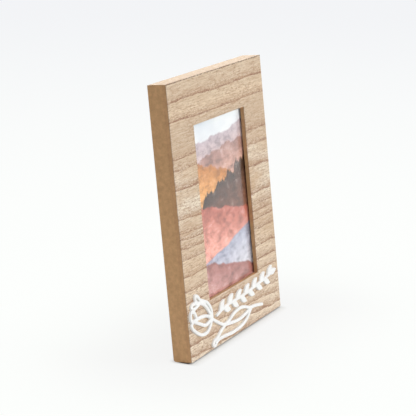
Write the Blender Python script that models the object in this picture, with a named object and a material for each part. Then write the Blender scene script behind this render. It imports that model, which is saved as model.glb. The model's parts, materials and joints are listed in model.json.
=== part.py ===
"""Standing wooden picture frame for a 10 x 15 cm print.

A veneered front board on four mitred fibreboard bars holds a pane, a print, two filler cards and a
backing board. Four turn buttons close the rear, and a hinged strut keeps the frame leaning back on the
eased rear edge of its bottom rail. Raised white ornaments are glued to the lower front.

Units are metres and +Z is up. The origin is on the table, at the middle of the narrow strip that the
bottom rail stands on. Sizes of the panel are given in its own upright frame: x to the right, y from the
veneer's face towards the rear, z up from the bottom face.
"""
import math

import bmesh
import bpy
from mathutils import Matrix, Vector

# Panel
PANEL_WIDTH = 0.170
PANEL_HEIGHT = 0.220
PANEL_DEPTH = 0.0165
LEAN_DEG = 5.7
VENEER_THICKNESS = 0.0005
BOARD_THICKNESS = 0.0030
FOOT_STRIP_DEPTH = 0.0020
HEEL_DEPTH = 0.0015
HEEL_HEIGHT = 0.0014

# What lies in the rear cavity
PRINT_WIDTH = 0.102
PRINT_HEIGHT = 0.152
PRINT_THICKNESS = 0.0003
GLASS_THICKNESS = 0.0010
BACKING_THICKNESS = 0.0030
BACKING_RECESS = 0.0003
CAVITY_CLEARANCE = 0.0005

# Window in the front
WINDOW_OVERLAP = 0.0050
WINDOW_RAISE = 0.0010

# Gaps between pieces
GLUE_GAP = 0.0001
SEAT_GAP = 0.0001
LOOSE_GAP = 0.0003

# V nails in the mitres
NAIL_LEG = 0.0050
NAIL_THICKNESS = 0.0006
NAIL_LENGTH = 0.0080
NAIL_INSET = 0.0100

# Turn buttons and their screws
BUTTON_LENGTH = 0.0240
BUTTON_WIDTH = 0.0090
BUTTON_THICKNESS = 0.0010
BUTTON_SETBACK = 0.0080
BUTTON_SPREAD = 0.0450
SCREW_RADIUS = 0.0013
SCREW_LENGTH = 0.0100
SCREW_HEAD_RADIUS = 0.0028
SCREW_HEAD_HEIGHT = 0.0016
SCREW_POINT = 0.0020

# Strut and hinge
HINGE_DROP = 0.0365
OPENING_DEG = 11.0
STRUT_THICKNESS = 0.0025
STRUT_TOP_WIDTH = 0.040
STRUT_FOOT_WIDTH = 0.054
STRUT_EAR_RISE = 0.0080
FOLD_GAP = 0.0006
HINGE_WIDTH = 0.018
HINGE_KNUCKLES = 3
HINGE_SLOT_CLEARANCE = 0.0010
LEAF_THICKNESS = 0.0010
FIXED_LEAF_HEIGHT = 0.017
MOVING_LEAF_HEIGHT = 0.019
PIN_RADIUS = 0.0010
PIN_CLEARANCE = 0.0002
RIVET_SPACING = 0.0100
RIVET_DISTANCE = 0.0110
RIVET_RADIUS = 0.0010
RIVET_HEAD_RADIUS = 0.0022
RIVET_HEAD_HEIGHT = 0.0009
RIVET_TAIL_RADIUS = 0.0018
RIVET_TAIL_THICKNESS = 0.0004

# Ornaments, drawn from the panel's lower left corner
ORNAMENT_THICKNESS = 0.0018
STROKE_WIDTH = 0.0027
SPRIG_STEM_WIDTH = 0.0022
SPRIG_LEAF_LENGTH = 0.0130
SPRIG_LEAF_WIDTH = 0.0056
SPRIG_LEAF_SPREAD_DEG = 29.0
SPRIG_LEAF_SPACING = 0.0078
SPRIG_FIRST_LEAF = 0.0050

# Shape of the small parts, as shares of their own size
HEAD_RIM_SHARE = 0.35
LEAF_STATIONS = (0.0, 0.12, 0.3, 0.5, 0.7, 0.88, 1.0)
LEAF_BLUNT_SHARE = 0.12
LEAF_FULLNESS = 0.8

# Facets
ROUND_SIDES = 24
SMALL_SIDES = 16
HEAD_STEPS = 3
BUTTON_END_STEPS = 8
STROKE_STEPS = 3
SPRIG_STEPS = 4
TIP_ANGLES_DEG = (70.0, 35.0)
SHARP_EDGE_DEG = 35.0

# Name, colour, roughness and metallic value of every finish
FINISHES = {
    "veneer": ("pale_veneer", (0.62, 0.46, 0.31), 0.6, 0.0),
    "board": ("brown_board", (0.30, 0.18, 0.09), 0.75, 0.0),
    "bar": ("fibreboard", (0.40, 0.26, 0.14), 0.75, 0.0),
    "nail": ("nail_steel", (0.45, 0.45, 0.46), 0.4, 1.0),
    "glass": ("clear_glass", (0.85, 0.90, 0.88), 0.05, 0.0),
    "print": ("print_paper", (0.70, 0.60, 0.55), 0.4, 0.0),
    "card": ("corrugated_card", (0.50, 0.36, 0.22), 0.85, 0.0),
    "backing": ("dark_fibreboard", (0.22, 0.13, 0.07), 0.7, 0.0),
    "steel": ("hinge_steel", (0.60, 0.60, 0.60), 0.35, 1.0),
    "rivet": ("rivet_steel", (0.66, 0.66, 0.67), 0.3, 1.0),
    "button": ("button_steel", (0.62, 0.60, 0.55), 0.35, 1.0),
    "ornament": ("white_paint", (0.88, 0.88, 0.87), 0.5, 0.0),
}

# Centre lines of the flower's strokes, in millimetres from the panel's lower left corner
FLOWER_STROKES = {
    "upper_petal_outer": [(38.3, 26.5), (38.5, 30.0), (37.8, 33.4), (35.6, 37.0), (32.3, 40.2), (29.0, 41.9),
                          (24.6, 43.8), (21.0, 45.2), (19.2, 46.8), (17.3, 48.9), (14.8, 50.4), (12.9, 50.7)],
    "upper_petal_fold": [(12.9, 50.7), (12.4, 49.0), (13.0, 46.8), (15.0, 44.7)],
    "upper_petal_inner": [(37.4, 27.2), (34.6, 31.5), (32.1, 35.0), (29.9, 37.5), (26.6, 39.9), (23.0, 42.0),
                          (19.0, 43.3), (14.5, 44.6), (9.5, 45.2), (6.7, 44.8), (5.0, 43.4)],
    "left_petal_lip": [(5.0, 43.4), (6.4, 41.8), (9.5, 41.0), (14.0, 41.6), (18.5, 42.9)],
    "left_petal_edge": [(5.5, 39.8), (3.0, 38.5), (2.4, 35.8), (3.1, 33.2), (5.5, 31.8)],
    "left_petal_curl": [(12.2, 32.6), (11.3, 34.8), (10.2, 36.8), (8.6, 38.8), (5.5, 39.8)],
    "middle_petal": [(37.2, 26.3), (34.5, 27.6), (30.5, 29.7), (25.3, 31.0), (20.1, 31.6), (15.0, 31.9),
                     (9.5, 31.9), (5.5, 31.4), (2.6, 29.2)],
    "lower_petal_inner": [(36.8, 25.2), (33.0, 24.3), (28.8, 23.4), (25.8, 23.4), (22.4, 24.4), (17.6, 26.7),
                          (12.6, 28.8), (8.0, 31.2)],
    "lower_petal_outer": [(37.0, 25.0), (35.8, 22.6), (33.6, 20.2), (30.3, 17.8), (26.8, 16.8), (22.1, 16.8),
                          (17.5, 17.8), (12.8, 20.1), (7.8, 23.4), (4.4, 26.2), (2.6, 29.2)],
    "stem": [(37.2, 25.4), (45.0, 21.2), (52.0, 17.2), (60.0, 14.4), (70.0, 12.8), (80.0, 11.7),
             (90.0, 11.6), (100.0, 13.0), (110.0, 15.0), (120.0, 14.2), (131.0, 12.2)],
    "upper_leaf": [(36.0, 4.2), (37.9, 6.2), (41.5, 7.0), (45.5, 7.9), (49.0, 9.9), (54.0, 12.2),
                   (60.0, 14.0), (66.0, 15.2), (72.0, 17.2), (78.0, 19.1), (85.0, 20.1), (92.0, 20.0),
                   (99.0, 18.5), (105.0, 16.3), (110.0, 15.0)],
    "lower_leaf": [(36.0, 4.2), (37.4, 2.6), (39.8, 2.7), (42.5, 4.4), (46.0, 5.6), (52.0, 5.7), (60.0, 5.2),
                   (68.0, 4.4), (76.0, 4.2), (84.0, 4.6), (92.0, 5.6), (99.0, 7.7), (104.5, 11.0),
                   (110.0, 15.0)],
}
SPRIG_STEM = [(46.9, 25.6), (61.4, 28.4), (77.4, 29.0), (93.4, 29.0), (109.4, 29.8), (125.4, 31.0),
              (141.4, 32.2), (152.4, 33.8)]
MILLIMETRE = 0.001

# Derived sizes
LEAN = math.radians(LEAN_DEG)
OPENING = math.radians(OPENING_DEG)
CAVITY_HALF_WIDTH = PRINT_WIDTH / 2 + CAVITY_CLEARANCE
CAVITY_LOW = (PANEL_HEIGHT - PRINT_HEIGHT) / 2 - CAVITY_CLEARANCE
CAVITY_HIGH = PANEL_HEIGHT - CAVITY_LOW
HINGE_HEIGHT = CAVITY_HIGH - HINGE_DROP
WINDOW_HALF_WIDTH = PRINT_WIDTH / 2 - WINDOW_OVERLAP
WINDOW_HALF_HEIGHT = PRINT_HEIGHT / 2 - WINDOW_OVERLAP
WINDOW_LOW = PANEL_HEIGHT / 2 + WINDOW_RAISE - WINDOW_HALF_HEIGHT
WINDOW_HIGH = PANEL_HEIGHT / 2 + WINDOW_RAISE + WINDOW_HALF_HEIGHT
BOARD_FRONT = VENEER_THICKNESS + GLUE_GAP
BOARD_REAR = BOARD_FRONT + BOARD_THICKNESS
BAR_FRONT = BOARD_REAR + GLUE_GAP
GLASS_FRONT = BOARD_REAR + LOOSE_GAP
PRINT_FRONT = GLASS_FRONT + GLASS_THICKNESS + SEAT_GAP
CARDS_FRONT = PRINT_FRONT + PRINT_THICKNESS + SEAT_GAP
BACKING_REAR = PANEL_DEPTH - BACKING_RECESS
BACKING_FRONT = BACKING_REAR - BACKING_THICKNESS
CARD_THICKNESS = (BACKING_FRONT - CARDS_FRONT) / 2 - SEAT_GAP

STRIP_FRONT = PANEL_DEPTH - HEEL_DEPTH - FOOT_STRIP_DEPTH
STRIP_REAR = PANEL_DEPTH - HEEL_DEPTH
STRIP_CENTRE = Vector((0.0, (STRIP_FRONT + STRIP_REAR) / 2, FOOT_STRIP_DEPTH / 2 * math.tan(LEAN)))
PANEL_MATRIX = Matrix.Rotation(-LEAN, 4, "X") @ Matrix.Translation(-STRIP_CENTRE)

BUTTON_FRONT = PANEL_DEPTH + LOOSE_GAP
BUTTON_REAR = BUTTON_FRONT + BUTTON_THICKNESS
SCREW_HOLE_RADIUS = SCREW_RADIUS + LOOSE_GAP
PIVOT_X = CAVITY_HALF_WIDTH + BUTTON_SETBACK

BORE_RADIUS = PIN_RADIUS + PIN_CLEARANCE
KNUCKLE_RADIUS = BORE_RADIUS + LEAF_THICKNESS
STRUT_REAR = BORE_RADIUS - SEAT_GAP
STRUT_FRONT = STRUT_REAR - STRUT_THICKNESS
AXIS_Y = max(BACKING_REAR + SEAT_GAP + KNUCKLE_RADIUS, PANEL_DEPTH + FOLD_GAP - STRUT_FRONT)
HINGE_AXIS = Vector((0.0, AXIS_Y, HINGE_HEIGHT))
STRUT_MATRIX = Matrix.Translation(HINGE_AXIS) @ Matrix.Rotation(OPENING, 4, "X")
KNUCKLE_LENGTH = (HINGE_WIDTH - (HINGE_KNUCKLES - 1) * LOOSE_GAP) / HINGE_KNUCKLES
KNUCKLE_ROOM = KNUCKLE_RADIUS + LOOSE_GAP
RIVET_HOLE_RADIUS = RIVET_RADIUS + LOOSE_GAP


def clear_scene():
    for old in list(bpy.data.objects):
        bpy.data.objects.remove(old, do_unlink=True)


def make_material(name, colour, roughness, metallic):
    made = bpy.data.materials.new(name)
    made.use_nodes = True
    shader = made.node_tree.nodes["Principled BSDF"]
    shader.inputs["Base Color"].default_value = (*colour, 1.0)
    shader.inputs["Roughness"].default_value = roughness
    shader.inputs["Metallic"].default_value = metallic
    return made


def add_object(name, bm, material, parent, location=(0.0, 0.0, 0.0), smooth=False):
    """Turns a bmesh into a named object under its parent."""
    bmesh.ops.recalc_face_normals(bm, faces=bm.faces)
    mesh = bpy.data.meshes.new(name)
    bm.to_mesh(mesh)
    bm.free()
    if smooth:
        mesh.shade_smooth()
        mesh.set_sharp_from_angle(angle=math.radians(SHARP_EDGE_DEG))
    made = bpy.data.objects.new(name, mesh)
    bpy.context.collection.objects.link(made)
    made.parent = parent
    made.location = location
    if material:
        mesh.materials.append(material)
    return made


def add_helper(name, bm, parent):
    """A hidden solid that only shapes another object."""
    helper = add_object(name, bm, None, parent)
    helper.hide_render = True
    helper.display_type = "WIRE"
    return helper


def combine(target, helper, operation):
    step = target.modifiers.new(operation.title() + "_" + helper.name, "BOOLEAN")
    step.operation = operation
    step.solver = "EXACT"
    step.object = helper


def add_prism(bm, loops, front, rear):
    """Adds a plate whose first loop is its outline and whose other loops are holes, all as (x, z)."""
    edges = []
    for loop in loops:
        points = [bm.verts.new((x, front, z)) for x, z in loop]
        edges += [bm.edges.new((points[i - 1], points[i])) for i in range(len(points))]
    filled = bmesh.ops.triangle_fill(bm, use_beauty=True, edges=edges)
    faces = [item for item in filled["geom"] if isinstance(item, bmesh.types.BMFace)]
    grown = bmesh.ops.extrude_face_region(bm, geom=faces, use_keep_orig=True)
    moved = [item for item in grown["geom"] if isinstance(item, bmesh.types.BMVert)]
    bmesh.ops.translate(bm, verts=moved, vec=(0.0, rear - front, 0.0))
    return bm


def prism(loops, front, rear):
    return add_prism(bmesh.new(), loops, front, rear)


def rectangle(half_width, low, high):
    return [(-half_width, low), (half_width, low), (half_width, high), (-half_width, high)]


def circle(centre_x, centre_z, radius, sides=SMALL_SIDES):
    steps = [2 * math.pi * (i + 0.5) / sides for i in range(sides)]
    return [(centre_x + radius * math.cos(a), centre_z + radius * math.sin(a)) for a in steps]


def add_turned(bm, profile, centre_x, centre_z, sides=SMALL_SIDES):
    """Adds a solid turned about the y direction from (radius, y) points that start and end at radius 0."""
    rings = []
    for radius, y in profile:
        if radius == 0.0:
            rings.append([bm.verts.new((centre_x, y, centre_z))])
        else:
            rings.append([bm.verts.new((x, y, z)) for x, z in circle(centre_x, centre_z, radius, sides)])
    for ring, following in zip(rings, rings[1:]):
        for i in range(sides):
            corners = [ring[i - 1 if len(ring) > 1 else 0], ring[i if len(ring) > 1 else 0],
                       following[i if len(following) > 1 else 0],
                       following[i - 1 if len(following) > 1 else 0]]
            bm.faces.new(list(dict.fromkeys(corners)))
    return bm


def dome(radius, height, base):
    """Profile of a low domed head from its middle out to its rim, rising towards +y."""
    arc = [math.pi / 2 * i / HEAD_STEPS for i in range(1, HEAD_STEPS)]
    rim = base + height * HEAD_RIM_SHARE
    rise = base + height - rim
    shoulder = [(radius * math.sin(a), rim + rise * math.cos(a)) for a in arc]
    return [(0.0, base + height)] + shoulder + [(radius, rim), (radius, base)]


def slice_off(bm, point, outward):
    """Cuts away everything on the outward side of a plane and closes the cut."""
    geometry = list(bm.verts) + list(bm.edges) + list(bm.faces)
    cut = bmesh.ops.bisect_plane(bm, geom=geometry, plane_co=point, plane_no=outward, clear_outer=True)
    edges = [item for item in cut["geom_cut"] if isinstance(item, bmesh.types.BMEdge)]
    bmesh.ops.edgenet_fill(bm, edges=edges)


def smooth_line(points, steps):
    """Catmull-Rom curve through points, with its direction at each place."""
    ends = [points[0] * 2 - points[1]] + points + [points[-1] * 2 - points[-2]]
    places = []
    for i in range(1, len(ends) - 2):
        before, start, stop, after = ends[i - 1:i + 3]
        last = i == len(ends) - 3
        for k in range(steps + 1 if last else steps):
            t = k / steps
            value = (2 * start + (stop - before) * t + (2 * before - 5 * start + 4 * stop - after) * t ** 2
                     + (3 * start - before - 3 * stop + after) * t ** 3) / 2
            slope = ((stop - before) + (2 * before - 5 * start + 4 * stop - after) * 2 * t
                     + (3 * start - before - 3 * stop + after) * 3 * t ** 2) / 2
            places.append((value, slope.normalized()))
    return places


def rounded_ends(places, half_width):
    """Stations of even width along a line, with a round tip at each end."""
    tips = [math.radians(angle) for angle in TIP_ANGLES_DEG]
    first, first_way = places[0]
    last, last_way = places[-1]
    opening = [(first - first_way * half_width * math.sin(a), first_way, half_width * math.cos(a))
               for a in tips]
    middle = [(point, way, half_width) for point, way in places]
    closing = [(last + last_way * half_width * math.sin(a), last_way, half_width * math.cos(a))
               for a in reversed(tips)]
    return opening + middle + closing


def strip(stations, front, rear):
    """Flat closed strip through stations of (point, direction, half width) in the (x, z) plane."""
    bm = bmesh.new()
    sections = []
    for point, way, half in stations:
        side = Vector((-way.y, way.x)) * half
        left = point + side
        right = point - side
        corners = [(left.x, front, left.y), (right.x, front, right.y),
                   (right.x, rear, right.y), (left.x, rear, left.y)]
        sections.append([bm.verts.new(corner) for corner in corners])
    for near, far in zip(sections, sections[1:]):
        for i in range(len(near)):
            bm.faces.new((near[i - 1], near[i], far[i], far[i - 1]))
    bm.faces.new(sections[0])
    bm.faces.new(reversed(sections[-1]))
    return bm


def corner_points(points):
    left = -PANEL_WIDTH / 2
    return [Vector((left + x * MILLIMETRE, z * MILLIMETRE)) for x, z in points]


def mitred_bar(outline):
    """Bar with its lower rear corner cut to the foot strip and the eased heel."""
    bm = prism([outline], BAR_FRONT, PANEL_DEPTH)
    floor = Vector((0.0, math.sin(LEAN), -math.cos(LEAN)))
    slice_off(bm, STRIP_CENTRE, floor)
    strip_end = Vector((0.0, STRIP_REAR, FOOT_STRIP_DEPTH * math.tan(LEAN)))
    heel_run = PANEL_DEPTH - STRIP_REAR
    heel_rise = HEEL_HEIGHT - strip_end.z
    slice_off(bm, strip_end, Vector((0.0, heel_rise, -heel_run)).normalized())
    return bm


def bar_outlines():
    """Outlines of the four mitred bars, each half a glue line back from its mitres."""
    outer_x = PANEL_WIDTH / 2
    mitre = Vector((outer_x - CAVITY_HALF_WIDTH, CAVITY_LOW))
    back = GLUE_GAP / 2
    shift_x = back * mitre.length / mitre.y
    shift_z = back * mitre.length / mitre.x
    inner_x = CAVITY_HALF_WIDTH
    bottom = [(-outer_x + shift_x, 0.0), (outer_x - shift_x, 0.0),
              (inner_x - shift_x, CAVITY_LOW), (-inner_x + shift_x, CAVITY_LOW)]
    right = [(outer_x, shift_z), (outer_x, PANEL_HEIGHT - shift_z),
             (inner_x, CAVITY_HIGH - shift_z), (inner_x, CAVITY_LOW + shift_z)]
    top = [(x, PANEL_HEIGHT - z) for x, z in bottom]
    left = [(-x, z) for x, z in right]
    return {"bottom_rail": bottom, "top_rail": top, "left_stile": left, "right_stile": right}


def chevron(apex, inward, leg, thickness):
    """V outline with its apex on a mitre and its legs spread towards the outer corner."""
    across = Vector((-inward.y, inward.x))
    reach = math.sqrt(0.5) * leg
    depth = math.sqrt(2.0) * thickness
    first = apex - inward * reach + across * reach
    second = apex - inward * reach - across * reach
    push = inward * depth
    loop = [apex, first, first + push, apex + push, second + push, second]
    return [(point.x, point.y) for point in loop]


def nail_places():
    """Rail, stile, place along the mitre, apex and inward direction of every V nail."""
    places = []
    ends = ((0.0, CAVITY_LOW, "bottom_rail"), (PANEL_HEIGHT, CAVITY_HIGH, "top_rail"))
    for side, stile in ((-1, "left_stile"), (1, "right_stile")):
        for end, inner_end, rail in ends:
            outer = Vector((side * PANEL_WIDTH / 2, end))
            inner = Vector((side * CAVITY_HALF_WIDTH, inner_end))
            inward = (inner - outer).normalized()
            places.append((rail, stile, "outer", outer + inward * NAIL_INSET, inward))
            places.append((rail, stile, "inner", inner - inward * NAIL_INSET, inward))
    return places


def nail_slot(bm, apex, inward):
    """Room round one V nail, open to the rear."""
    room = LOOSE_GAP
    start = apex - inward * room * math.sqrt(2.0)
    loop = chevron(start, inward, NAIL_LEG + 2 * room, NAIL_THICKNESS + 2 * room)
    front = PANEL_DEPTH - SEAT_GAP - NAIL_LENGTH - room
    add_prism(bm, [loop], front, PANEL_DEPTH + room)


def button_places():
    """Name, pivot and inward direction of every turn button."""
    places = []
    for side, side_name in ((-1, "left"), (1, "right")):
        for rise, rise_name in ((1, "upper"), (-1, "lower")):
            pivot = Vector((side * PIVOT_X, 0.0, PANEL_HEIGHT / 2 + rise * BUTTON_SPREAD))
            places.append((side_name + "_" + rise_name, pivot, -side))
    return places


def build_front(panel, materials):
    outline = rectangle(PANEL_WIDTH / 2, 0.0, PANEL_HEIGHT)
    window = rectangle(WINDOW_HALF_WIDTH, WINDOW_LOW, WINDOW_HIGH)
    add_object("face_veneer", prism([outline, window], 0.0, VENEER_THICKNESS), materials["veneer"], panel)
    add_object("front_board", prism([outline, window], BOARD_FRONT, BOARD_REAR), materials["board"], panel)


def build_bars(panel, materials):
    for name, outline in bar_outlines().items():
        bar = add_object(name, mitred_bar(outline), materials["bar"], panel)
        cutter = bmesh.new()
        for rail, stile, place, apex, inward in nail_places():
            if name in (rail, stile):
                nail_slot(cutter, apex, inward)
        for place, pivot, way in button_places():
            if name == place.split("_")[0] + "_stile":
                hole = circle(pivot.x, pivot.z, SCREW_HOLE_RADIUS)
                bottom = BUTTON_REAR - SCREW_LENGTH - LOOSE_GAP
                add_prism(cutter, [hole], bottom, PANEL_DEPTH + LOOSE_GAP)
        combine(bar, add_helper(name + "_cuts", cutter, panel), "DIFFERENCE")
    rear = PANEL_DEPTH - SEAT_GAP
    for rail, stile, place, apex, inward in nail_places():
        name = "_".join(("v_nail", rail.split("_")[0], stile.split("_")[0], place))
        nail = prism([chevron(apex, inward, NAIL_LEG, NAIL_THICKNESS)], rear - NAIL_LENGTH, rear)
        add_object(name, nail, materials["nail"], panel)


def build_contents(panel, materials):
    sheet = rectangle(PRINT_WIDTH / 2, CAVITY_LOW + CAVITY_CLEARANCE, CAVITY_HIGH - CAVITY_CLEARANCE)
    add_object("glass_pane", prism([sheet], GLASS_FRONT, GLASS_FRONT + GLASS_THICKNESS),
               materials["glass"], panel)
    add_object("picture_print", prism([sheet], PRINT_FRONT, PRINT_FRONT + PRINT_THICKNESS),
               materials["print"], panel)
    front = CARDS_FRONT
    for name in ("filler_card_front", "filler_card_rear"):
        add_object(name, prism([sheet], front, front + CARD_THICKNESS), materials["card"], panel)
        front += CARD_THICKNESS + SEAT_GAP
    rivets = [(side * RIVET_SPACING / 2, HINGE_HEIGHT + RIVET_DISTANCE) for side in (-1, 1)]
    holes = [circle(x, z, RIVET_HOLE_RADIUS) for x, z in rivets]
    backing = add_object("backing_board", prism([sheet] + holes, BACKING_FRONT, BACKING_REAR),
                         materials["backing"], panel)
    seats = bmesh.new()
    for x, z in rivets:
        seat = circle(x, z, RIVET_TAIL_RADIUS + LOOSE_GAP)
        depth = RIVET_TAIL_THICKNESS + 2 * SEAT_GAP
        add_prism(seats, [seat], BACKING_FRONT - LOOSE_GAP, BACKING_FRONT + depth)
    combine(backing, add_helper("backing_rivet_seats", seats, panel), "DIFFERENCE")


def rivet_profile(head_seat, tail_seat):
    """Rivet from its domed head at +y to its tail, for faces at the two seats."""
    tail_end = tail_seat - SEAT_GAP - RIVET_TAIL_THICKNESS
    return dome(RIVET_HEAD_RADIUS, RIVET_HEAD_HEIGHT, head_seat + SEAT_GAP) + [
        (RIVET_RADIUS, head_seat + SEAT_GAP), (RIVET_RADIUS, tail_seat - SEAT_GAP),
        (RIVET_TAIL_RADIUS, tail_seat - SEAT_GAP), (RIVET_TAIL_RADIUS, tail_end), (0.0, tail_end)]


def knuckle(bm, left, right):
    """Rolled tube about the hinge axis between two places along x."""
    around = [2 * math.pi * (i + 0.5) / ROUND_SIDES for i in range(ROUND_SIDES)]
    rims = ((left, KNUCKLE_RADIUS), (right, KNUCKLE_RADIUS), (right, BORE_RADIUS), (left, BORE_RADIUS))
    rings = []
    for x, radius in rims:
        rings.append([bm.verts.new((x, radius * math.cos(a), radius * math.sin(a))) for a in around])
    for i, following in enumerate(rings):
        ring = rings[i - 1]
        for k in range(ROUND_SIDES):
            bm.faces.new((ring[k - 1], ring[k], following[k], following[k - 1]))
    return bm


def build_leaf(name, parent, location, material, height, way, face, knuckles):
    """Leaf plate on one side of the axis, notched round the other leaf's knuckles and rolled at its own."""
    half = HINGE_WIDTH / 2
    near = way * KNUCKLE_ROOM
    far = way * height
    outline = [(-half, far), (half, far), (half, near), (-half, near)]
    holes = [circle(side * RIVET_SPACING / 2, way * RIVET_DISTANCE, RIVET_HOLE_RADIUS) for side in (-1, 1)]
    rear = face + LEAF_THICKNESS
    leaf = add_object(name, prism([outline] + holes, face, rear), material, parent, location)
    for index, (left, right) in enumerate(knuckles):
        own = name + "_" + str(index)
        tube = add_helper(own + "_knuckle", knuckle(bmesh.new(), left, right), parent)
        tube.location = location
        tab_end = near + way * LEAF_THICKNESS
        tab_outline = [(left, 0.0), (right, 0.0), (right, tab_end), (left, tab_end)]
        tab = add_helper(own + "_tab", prism([tab_outline], face, rear), parent)
        tab.location = location
        bore = add_helper(own + "_bore", bore_room(left, right), parent)
        bore.location = location
        combine(leaf, tab, "UNION")
        combine(leaf, tube, "UNION")
        combine(leaf, bore, "DIFFERENCE")
    return leaf


def bore_room(left, right):
    """Space for the pin through one knuckle."""
    bm = bmesh.new()
    around = [2 * math.pi * (i + 0.5) / ROUND_SIDES for i in range(ROUND_SIDES)]
    ends = []
    for x in (left - LOOSE_GAP, right + LOOSE_GAP):
        points = [bm.verts.new((x, BORE_RADIUS * math.cos(a), BORE_RADIUS * math.sin(a))) for a in around]
        bm.faces.new(points)
        ends.append(points)
    for k in range(ROUND_SIDES):
        bm.faces.new((ends[0][k - 1], ends[0][k], ends[1][k], ends[1][k - 1]))
    return bm


def build_hinge_and_strut(panel, materials):
    swing = bpy.data.objects.new("strut_axis", None)
    bpy.context.collection.objects.link(swing)
    swing.parent = panel
    swing.location = HINGE_AXIS
    swing.rotation_euler = (OPENING, 0.0, 0.0)

    half = HINGE_WIDTH / 2
    inner = KNUCKLE_LENGTH / 2
    fixed_face = BACKING_REAR + SEAT_GAP - AXIS_Y
    build_leaf("hinge_leaf_fixed", panel, HINGE_AXIS, materials["steel"], FIXED_LEAF_HEIGHT, 1,
               fixed_face, [(-inner, inner)])
    build_leaf("hinge_leaf_moving", swing, (0.0, 0.0, 0.0), materials["steel"], MOVING_LEAF_HEIGHT, -1,
               BORE_RADIUS, [(-half, -inner - LOOSE_GAP), (inner + LOOSE_GAP, half)])

    pin = bmesh.new()
    bmesh.ops.create_cone(pin, cap_ends=True, segments=ROUND_SIDES, radius1=PIN_RADIUS, radius2=PIN_RADIUS,
                          depth=HINGE_WIDTH, matrix=Matrix.Rotation(math.pi / 2, 4, "Y"))
    add_object("hinge_pin", pin, materials["steel"], panel, HINGE_AXIS, smooth=True)

    board = add_object("strut", strut_mesh(), materials["backing"], swing)
    seats = bmesh.new()
    for side, side_name in ((-1, "left"), (1, "right")):
        x = side * RIVET_SPACING / 2
        seat_end = STRUT_FRONT + RIVET_TAIL_THICKNESS + 2 * SEAT_GAP
        add_turned(seats, [(0.0, STRUT_REAR + LOOSE_GAP), (RIVET_HOLE_RADIUS, STRUT_REAR + LOOSE_GAP),
                           (RIVET_HOLE_RADIUS, seat_end), (RIVET_TAIL_RADIUS + LOOSE_GAP, seat_end),
                           (RIVET_TAIL_RADIUS + LOOSE_GAP, STRUT_FRONT - LOOSE_GAP),
                           (0.0, STRUT_FRONT - LOOSE_GAP)], x, -RIVET_DISTANCE)
        rivet = add_turned(bmesh.new(), rivet_profile(KNUCKLE_RADIUS, seat_end), x, -RIVET_DISTANCE)
        add_object("strut_rivet_" + side_name, rivet, materials["rivet"], swing, smooth=True)
        fixed_seat = BACKING_FRONT + RIVET_TAIL_THICKNESS + 2 * SEAT_GAP
        profile = rivet_profile(BACKING_REAR + SEAT_GAP + LEAF_THICKNESS, fixed_seat)
        rivet = add_turned(bmesh.new(), profile, x, HINGE_HEIGHT + RIVET_DISTANCE)
        add_object("board_rivet_" + side_name, rivet, materials["rivet"], panel, smooth=True)
    combine(board, add_helper("strut_rivet_seats", seats, swing), "DIFFERENCE")


def strut_mesh():
    """Tapered strut about its hinge axis: forked at the hinge, bevelled ears, level foot."""
    slot = HINGE_WIDTH / 2 + HINGE_SLOT_CLEARANCE
    slot_floor = -KNUCKLE_ROOM
    top = STRUT_TOP_WIDTH / 2
    foot = STRUT_FOOT_WIDTH / 2
    length = (PANEL_MATRIX @ HINGE_AXIS).z / math.cos(OPENING - LEAN) + STRUT_THICKNESS
    outline = [(-foot, -length), (foot, -length), (top, STRUT_EAR_RISE), (slot, STRUT_EAR_RISE),
               (slot, slot_floor), (-slot, slot_floor), (-slot, STRUT_EAR_RISE), (-top, STRUT_EAR_RISE)]
    bm = prism([outline], STRUT_FRONT, STRUT_REAR)
    to_strut = STRUT_MATRIX.inverted()
    stop_point = to_strut @ Vector((0.0, BACKING_REAR + LOOSE_GAP, HINGE_HEIGHT))
    slice_off(bm, stop_point, to_strut.to_3x3() @ Vector((0.0, -1.0, 0.0)))
    to_table = (PANEL_MATRIX @ STRUT_MATRIX).inverted()
    slice_off(bm, to_table @ Vector((0.0, 0.0, 0.0)), to_table.to_3x3() @ Vector((0.0, 0.0, -1.0)))
    return bm


def build_buttons(panel, materials):
    end = BUTTON_WIDTH / 2
    reach = BUTTON_LENGTH - BUTTON_WIDTH
    for place, pivot, way in button_places():
        turns = [math.pi * (0.5 + i / BUTTON_END_STEPS) for i in range(BUTTON_END_STEPS + 1)]
        outline = [(way * end * math.cos(a), end * math.sin(a)) for a in turns]
        outline += [(way * (reach - end * math.cos(a)), -end * math.sin(a)) for a in turns]
        hole = circle(0.0, 0.0, SCREW_HOLE_RADIUS)
        add_object("turn_button_" + place, prism([outline, hole], BUTTON_FRONT, BUTTON_REAR),
                   materials["button"], panel, (pivot.x, 0.0, pivot.z))
        head = BUTTON_REAR + LOOSE_GAP
        tip = BUTTON_REAR - SCREW_LENGTH
        profile = dome(SCREW_HEAD_RADIUS, SCREW_HEAD_HEIGHT, head) + [
            (SCREW_RADIUS, head), (SCREW_RADIUS, tip + SCREW_POINT), (0.0, tip)]
        screw = add_turned(bmesh.new(), profile, pivot.x, pivot.z)
        add_object("button_screw_" + place, screw, materials["rivet"], panel, smooth=True)


def join_strips(name, strips, material, parent):
    """One solid from strips that cross each other."""
    body = add_object(name, strips[0], material, parent)
    for index, piece in enumerate(strips[1:]):
        combine(body, add_helper(name + "_strip_" + str(index), piece, parent), "UNION")
    return body


def build_flower(panel, materials):
    front = -GLUE_GAP - ORNAMENT_THICKNESS
    strips = []
    for points in FLOWER_STROKES.values():
        line = smooth_line(corner_points(points), STROKE_STEPS)
        strips.append(strip(rounded_ends(line, STROKE_WIDTH / 2), front, -GLUE_GAP))
    join_strips("flower_ornament", strips, materials["ornament"], panel)


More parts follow.
